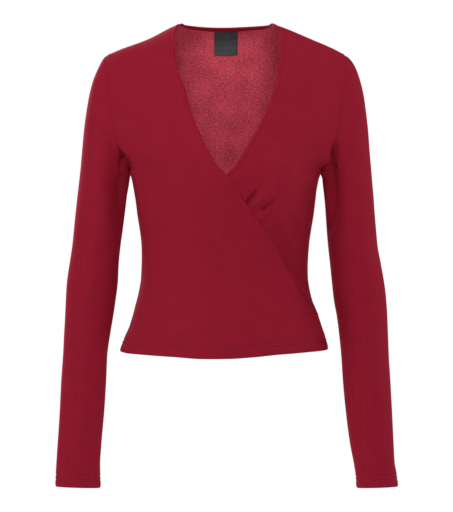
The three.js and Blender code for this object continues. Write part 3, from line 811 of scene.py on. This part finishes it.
def makeJerseyRight():
    look = jerseyRight
    material, shader = newMaterial("jersey knit, right side", {
        "Roughness": 0.85, "Specular IOR Level": 0.1, "Sheen Weight": 0.5, "Sheen Roughness": 0.45,
        "Sheen Tint": hexColour("#d2304a"),
    })
    uv = addNode(material, "ShaderNodeUVMap", {"uv_map": "cloth"})
    cloth = {"Vector": uv.outputs["UV"]}
    stripes = addNode(material, "ShaderNodeTexWave", {
        "wave_type": "BANDS", "bands_direction": "X", "Scale": bandScale(look["stripeSpacing"]),
        "Distortion": 1.2, "Detail": 1.0, "Detail Scale": 2.0}, cloth)
    grain = addNode(material, "ShaderNodeTexNoise", {
        "Scale": 1000 / look["grain"], "Detail": 2.0, "Roughness": 0.6}, cloth)
    mottle = addNode(material, "ShaderNodeTexNoise", {
        "Scale": 1000 / look["mottle"], "Detail": 3.0, "Roughness": 0.5}, cloth)
    knit = addNode(material, "ShaderNodeMath", {"operation": "MULTIPLY_ADD", 1: 0.35}, {
        0: stripes.outputs["Fac"], 2: grain.outputs["Fac"]})
    tone = addNode(material, "ShaderNodeMath", {"operation": "MULTIPLY_ADD", 1: 0.55}, {
        0: knit.outputs[0], 2: mottle.outputs["Fac"]})
    share = addNode(material, "ShaderNodeMapRange", {"From Min": 0.55, "From Max": 1.25}, {
        "Value": tone.outputs[0]})
    colour = addNode(material, "ShaderNodeMix", {
        "data_type": "RGBA", 6: hexColour(look["shade"]), 7: hexColour(look["colour"])}, {
        "Factor": share.outputs[0]})
    plug(material, colour.outputs[2], shader.inputs["Base Color"])
    bump = addNode(material, "ShaderNodeBump", {"Strength": 0.22, "Distance": 0.0003}, {
        "Height": knit.outputs[0]})
    plug(material, bump.outputs["Normal"], shader.inputs["Normal"])
    return material


# Cotton jersey, wrong side: paler and speckled in rows by its purl loops, and lightened further as
# painted light for the light that shines through the thin cloth onto the inside
jerseyWrong = {
    "light": "#fb677d",
    "dark": "#b03c4b",
    "streakLength": 4.0,     # mm; loops seen in short rows, drawn coarser so that they show
    "streakHeight": 2.0,
    "mottle": 34.0,
}


def makeJerseyWrong():
    look = jerseyWrong
    material, shader = newMaterial("jersey knit, wrong side", {
        "Roughness": 0.9, "Specular IOR Level": 0.1, "Sheen Weight": 0.3, "Sheen Roughness": 0.5,
        "Sheen Tint": hexColour("#e8788c"),
    })
    uv = addNode(material, "ShaderNodeUVMap", {"uv_map": "cloth"})
    stretch = addNode(material, "ShaderNodeMapping", {
        "Scale": (1000 / look["streakLength"], 1000 / look["streakHeight"], 1.0)}, {
        "Vector": uv.outputs["UV"]})
    streaks = addNode(material, "ShaderNodeTexNoise", {"Scale": 1.0, "Detail": 2.5, "Roughness": 0.62}, {
        "Vector": stretch.outputs["Vector"]})
    mottle = addNode(material, "ShaderNodeTexNoise", {
        "Scale": 1000 / look["mottle"], "Detail": 3.0, "Roughness": 0.5}, {"Vector": uv.outputs["UV"]})
    tone = addNode(material, "ShaderNodeMath", {"operation": "MULTIPLY_ADD", 1: 0.5}, {
        0: mottle.outputs["Fac"], 2: streaks.outputs["Fac"]})
    share = addNode(material, "ShaderNodeMapRange", {"From Min": 0.52, "From Max": 0.98}, {
        "Value": tone.outputs[0]})
    # both tones hold painted light: they are paler than the cloth itself so that the inside looks lit
    colour = addNode(material, "ShaderNodeMix", {
        "data_type": "RGBA", 6: hexColour(look["dark"]), 7: hexColour(look["light"])}, {
        "Factor": share.outputs[0]})
    plug(material, colour.outputs[2], shader.inputs["Base Color"])
    bump = addNode(material, "ShaderNodeBump", {"Strength": 0.3, "Distance": 0.0004}, {
        "Height": streaks.outputs["Fac"]})
    plug(material, bump.outputs["Normal"], shader.inputs["Normal"])
    return material


# Woven satin label: charcoal, smoother than the jersey, with soft bands across it of painted sheen,
# lighter and darker stripes in its colour that are also raised a little; spacings in mm, as its threads
# are too fine to show
satin = {"colour": "#3e474b", "shade": "#2a3135", "sheenBandSpacing": 10.05, "mottle": 11.1}


def makeSatin():
    material, shader = newMaterial("satin woven label", {
        "Roughness": 0.52, "Specular IOR Level": 0.4, "Sheen Weight": 0.1,
    })
    uv = addNode(material, "ShaderNodeUVMap", {"uv_map": "cloth"})
    cloth = {"Vector": uv.outputs["UV"]}
    sheenBands = addNode(material, "ShaderNodeTexWave", {
        "wave_type": "BANDS", "bands_direction": "Y", "Scale": bandScale(satin["sheenBandSpacing"]),
        "Distortion": 0.6, "Detail": 1.0}, cloth)
    mottle = addNode(material, "ShaderNodeTexNoise", {
        "Scale": 1000 / satin["mottle"], "Detail": 2.0}, cloth)
    tone = addNode(material, "ShaderNodeMath", {"operation": "MULTIPLY_ADD", 1: 0.4}, {
        0: sheenBands.outputs["Fac"], 2: mottle.outputs["Fac"]})
    # painted sheen: the bands, with a random mottle, mix the label's colour between its two tones
    colour = addNode(material, "ShaderNodeMix", {
        "data_type": "RGBA", 6: hexColour(satin["shade"]), 7: hexColour(satin["colour"])}, {
        "Factor": tone.outputs[0]})
    plug(material, colour.outputs[2], shader.inputs["Base Color"])
    bump = addNode(material, "ShaderNodeBump", {"Strength": 0.25, "Distance": 0.0002}, {
        "Height": sheenBands.outputs["Fac"]})
    plug(material, bump.outputs["Normal"], shader.inputs["Normal"])
    return material


# Spun polyester sewing thread: a little smoother than the jersey, so its stitches catch the light
sewingThread = {"colour": "#8f1a30", "twist": 1.11}


def makeThread():
    material, shader = newMaterial("polyester sewing thread", {
        "Base Color": hexColour(sewingThread["colour"]), "Roughness": 0.55, "Specular IOR Level": 0.35,
    })
    place = addNode(material, "ShaderNodeTexCoord")
    twist = addNode(material, "ShaderNodeTexNoise", {
        "Scale": 1000 / sewingThread["twist"], "Detail": 1.0}, {"Vector": place.outputs["Object"]})
    bump = addNode(material, "ShaderNodeBump", {"Strength": 0.3, "Distance": 0.0001}, {
        "Height": twist.outputs["Fac"]})
    plug(material, bump.outputs["Normal"], shader.inputs["Normal"])
    return material


# Camera at the photo's angle: level, straight on and far away
camera = {"place": (0.0007, -2.6, -0.3364), "lens": 126.1, "sensor": 36.0}


def placeCamera():
    data = bpy.data.cameras.new("photoCamera")
    data.sensor_width, data.lens = camera["sensor"], camera["lens"]
    made = bpy.data.objects.new("photoCamera", data)
    made.location = camera["place"]
    made.rotation_euler = (math.radians(90), 0, 0)
    bpy.context.collection.objects.link(made)
    bpy.context.scene.camera = made


# Wide soft lights round the top, in metres and watts; the white world shows to the camera and
# hardly lights anything
studio = {
    "worldLight": 0.03,
    "lightSize": 1.5,
    "aim": (0.0, 0.0, -0.3),
    "lights": {
        "overheadFront": {"place": (0.0, -2.4, 1.4), "power": 24},
        "above": {"place": (0.0, -0.4, 2.0), "power": 15},
        "highLeft": {"place": (-1.6, -1.2, 1.6), "power": 4},
        "highRight": {"place": (1.6, -1.2, 1.6), "power": 8},
        "sideLeft": {"place": (-2.4, -0.5, 0.0), "power": 16},
        "sideRight": {"place": (2.4, 0.4, 0.0), "power": 16.5},
        "frontLow": {"place": (0.0, -2.4, -1.4), "power": 46},
        "behind": {"place": (-1.5, 2.3, 1.2), "power": 50},
    },
    "floorColour": "#f2f0ee",
    "floorHeight": -1.0,
    "floorRadius": 1.9,
    "floorSides": 96,
}


def softLight(name, light):
    data = bpy.data.lights.new(name, "AREA")
    data.shape, data.size, data.energy = "DISK", studio["lightSize"], light["power"]
    made = bpy.data.objects.new(name, data)
    made.location = light["place"]
    aim = np.array(studio["aim"]) - np.array(light["place"])
    flat = math.hypot(aim[0], aim[1])
    made.rotation_euler = (math.atan2(flat, -aim[2]), 0, math.atan2(-aim[0], aim[1]))
    bpy.context.collection.objects.link(made)


def lightStudio():
    world = bpy.data.worlds.new("studio")
    world.use_nodes = True
    backdrop = world.node_tree.nodes["Background"]
    backdrop.inputs["Color"].default_value = (1, 1, 1, 1)
    path = addNode(world, "ShaderNodeLightPath")
    strength = addNode(world, "ShaderNodeMapRange", {"To Min": studio["worldLight"], "To Max": 1.0}, {
        "Value": path.outputs["Is Camera Ray"]})
    plug(world, strength.outputs[0], backdrop.inputs["Strength"])
    bpy.context.scene.world = world
    bpy.context.scene.view_settings.view_transform = "Standard"
    for name, light in studio["lights"].items():
        softLight(name, light)


def layFloor():
    # matt painted board, which gives the top a pale even ground
    sides, radius = studio["floorSides"], studio["floorRadius"] / mm
    turns = np.arange(sides) * 2 * math.pi / sides
    rim = np.stack([radius * np.cos(turns), radius * np.sin(turns)], axis=-1)
    rim = np.insert(rim, 2, studio["floorHeight"] / mm, axis=1)
    material, shader = newMaterial("painted studio floor", {
        "Base Color": hexColour(studio["floorColour"]), "Roughness": 0.7})
    meshObject("studioFloor", rim, [tuple(range(sides))], [material], smoothFaces=False)


print("stage: camera and light")
placeCamera()
lightStudio()
layFloor()

print("stage: panels of the body and sleeves")
knitRight, knitWrong, satinWeave, thread = makeJerseyRight(), makeJerseyWrong(), makeSatin(), makeThread()

overGrid, underGrid = pulledIn(frontGrid(-1, overEdge)), pulledIn(frontGrid(1, underEdge))
back = pulledIn(backGrid())
rightSleeve, leftSleeve = pulledIn(sleeveGrid(-1)), pulledIn(sleeveGrid(1))

# Above these heights a front ends at its free edge, and below them in the other side seam
freeHeights = (-424.0, -418.0)
# The under front lies this far inside where the outer one covers it, a little more behind its hem
overlap = {"sink": 2.4, "hemSink": 1.0, "covered": (16, 40), "hemHeights": (17, 22)}


def freeRows(grid, column):
    return smooth(*freeHeights, grid[:, column, 2])


def underSink():
    clear = underGrid[..., 0] + acrossAt(overEdge, underGrid[..., 2])
    covered = 1 - smooth(*overlap["covered"], clear)
    hem = 1 - smooth(*overlap["hemHeights"], borderLengths(underGrid)["bottom"])
    return covered * (overlap["sink"] + overlap["hemSink"] * hem)


sleeveCut = {"seams": ["start", "end", "top"], "flat": (0.36, 0.62), "area": 0.125}
panels = {
    "right_front": {
        "piece": "overFront", "grid": overGrid, "seams": ["start", "top"],
        "freeEdge": "end", "freeRows": freeRows(overGrid, -1), "creases": bodyCreases + overCreases,
        "seed": 0.4, "flat": (0.41, 0.52), "area": 0.107,
    },
    "left_front": {
        "piece": "underFront", "grid": underGrid, "seams": ["end", "top"],
        "freeEdge": "start", "freeRows": freeRows(underGrid, 0), "creases": bodyCreases + underCreases,
        "sink": underSink(), "seed": 0.4, "flat": (0.41, 0.52), "area": 0.103,
    },
    "back": {
        "piece": "backPanel", "grid": back, "seams": ["start", "end"],
        "creases": backCreases, "seed": 1.3, "flat": (0.41, 0.51), "area": 0.178,
    },
    "right_sleeve": {
        "piece": "rightSleeve", "grid": rightSleeve, "seed": 2.1, **sleeveCut,
        "creases": rightSleeveCreases, "tucks": rightSleeveTucks,
    },
    "left_sleeve": {
        "piece": "leftSleeve", "grid": leftSleeve, "seed": 3.2, **sleeveCut,
        "creases": leftSleeveCreases, "tucks": leftSleeveTucks,
    },
}
for panel in panels.values():
    panel["normals"] = gridNormals(panel["grid"])
    panel["lengths"] = borderLengths(panel["grid"])
shareSeamNormals(panels.values())

for node, panel in panels.items():
    finishPanel(panel)
    reference = panel["grid"].shape[1] // 2
    across = panel["lengths"]["start"] - panel["lengths"]["start"][:, reference:reference + 1]
    uv = np.stack([across, panel["lengths"]["bottom"]], axis=-1) * mm
    made = shellObject(panel["piece"], panel["outer"], panel["inner"], uv, [knitRight, knitWrong])
    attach(made, "root")
    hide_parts(node)
    stitches = hemStitches(panel["piece"] + "HemStitches", panel, thread)
    print("stage:", panel["piece"], len(made.data.polygons), "faces")


def insideBack(drops):
    # points and normals inside the back between the neck points, at distances below the neckline
    columns = np.flatnonzero(np.abs(backAngles) < body["neckAngle"])
    inner, facing = panels["back"]["inner"][::-1, columns], panels["back"]["facing"][::-1, columns]
    down = distanceAlong(inner, 0)
    points = np.empty((len(drops), len(columns), 3))
    normals = np.empty_like(points)
    for column in range(len(columns)):
        points[:, column] = pointsAt(drops, down[:, column], inner[:, column])
        normals[:, column] = pointsAt(drops, down[:, column], facing[:, column])
    return points, unit(normals)


# Narrow self-cloth band inside the back neck, fullest a little above its middle
bandForm = {
    "start": 0.15,
    "width": 7.2,
    "rows": 11,
    "thickness": 1.0,
    "off": 0.15,
    "puff": 0.42,
    "puffBend": 0.8,
}


def neckBand():
    drops = np.linspace(bandForm["start"], bandForm["width"], bandForm["rows"])[::-1]
    points, normals = insideBack(drops)
    puff = np.sin(math.pi * (drops / bandForm["width"]) ** bandForm["puffBend"])
    bulge = bandForm["off"] + bandForm["puff"] * puff
    under = points - normals * bulge[:, None, None]
    over = under - normals * bandForm["thickness"]
    across = distanceAlong(points, 1)
    uv = np.stack([across, np.broadcast_to(drops[:, None], across.shape)], axis=-1) * mm
    made = shellObject("backNeckBand", over[:, ::-1], under[:, ::-1], uv[:, ::-1], [knitRight, knitRight])
    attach(made, "root")
    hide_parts("back_neck_band")


# Label under the band: it bows off the back between its ends and has one soft fold, on one side
labelForm = {
    "width": 35.5,
    "height": 39.0,
    "drop": 7.8,
    "columns": 41,
    "rows": 45,
    "thickness": 0.45,
    "off": 0.5,
    "bow": 0.9,
    "bowWidth": 14,
    "fold": (10.5, 1.3, 0.5),      # x, half width and height
    "foldShares": (0.55, 0.2),     # it fades out between these shares of the height
}


def wovenLabel():
    drops = labelForm["drop"] + np.linspace(0, labelForm["height"], labelForm["rows"])[::-1]
    points, normals = insideBack(drops)
    xs = np.linspace(-labelForm["width"] / 2, labelForm["width"] / 2, labelForm["columns"])
    grid = np.empty((len(drops), len(xs), 3))
    facing = np.empty_like(grid)
    for row in range(len(drops)):
        order = np.argsort(points[row, :, 0])
        grid[row] = pointsAt(xs, points[row, order, 0], points[row, order])
        facing[row] = pointsAt(xs, points[row, order, 0], normals[row, order])
    facing = unit(facing)
    share = (drops - labelForm["drop"]) / labelForm["height"]
    bow = np.sin(math.pi * share)[:, None] * np.cos(xs / labelForm["bowWidth"])[None, :] ** 2
    fold = ridge(xs, labelForm["fold"])[None, :] * smooth(*labelForm["foldShares"], share)[:, None]
    lift = labelForm["off"] + labelForm["bow"] * bow + fold
    under = grid - facing * lift[..., None]
    over = under - facing * labelForm["thickness"]
    uv = np.stack(np.meshgrid(xs, drops), axis=-1) * mm
    made = shellObject("wovenLabel", over, under, uv, [satinWeave, satinWeave])
    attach(made, "root")
    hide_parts("label")


print("stage: back neck band and label")
neckBand()
wovenLabel()
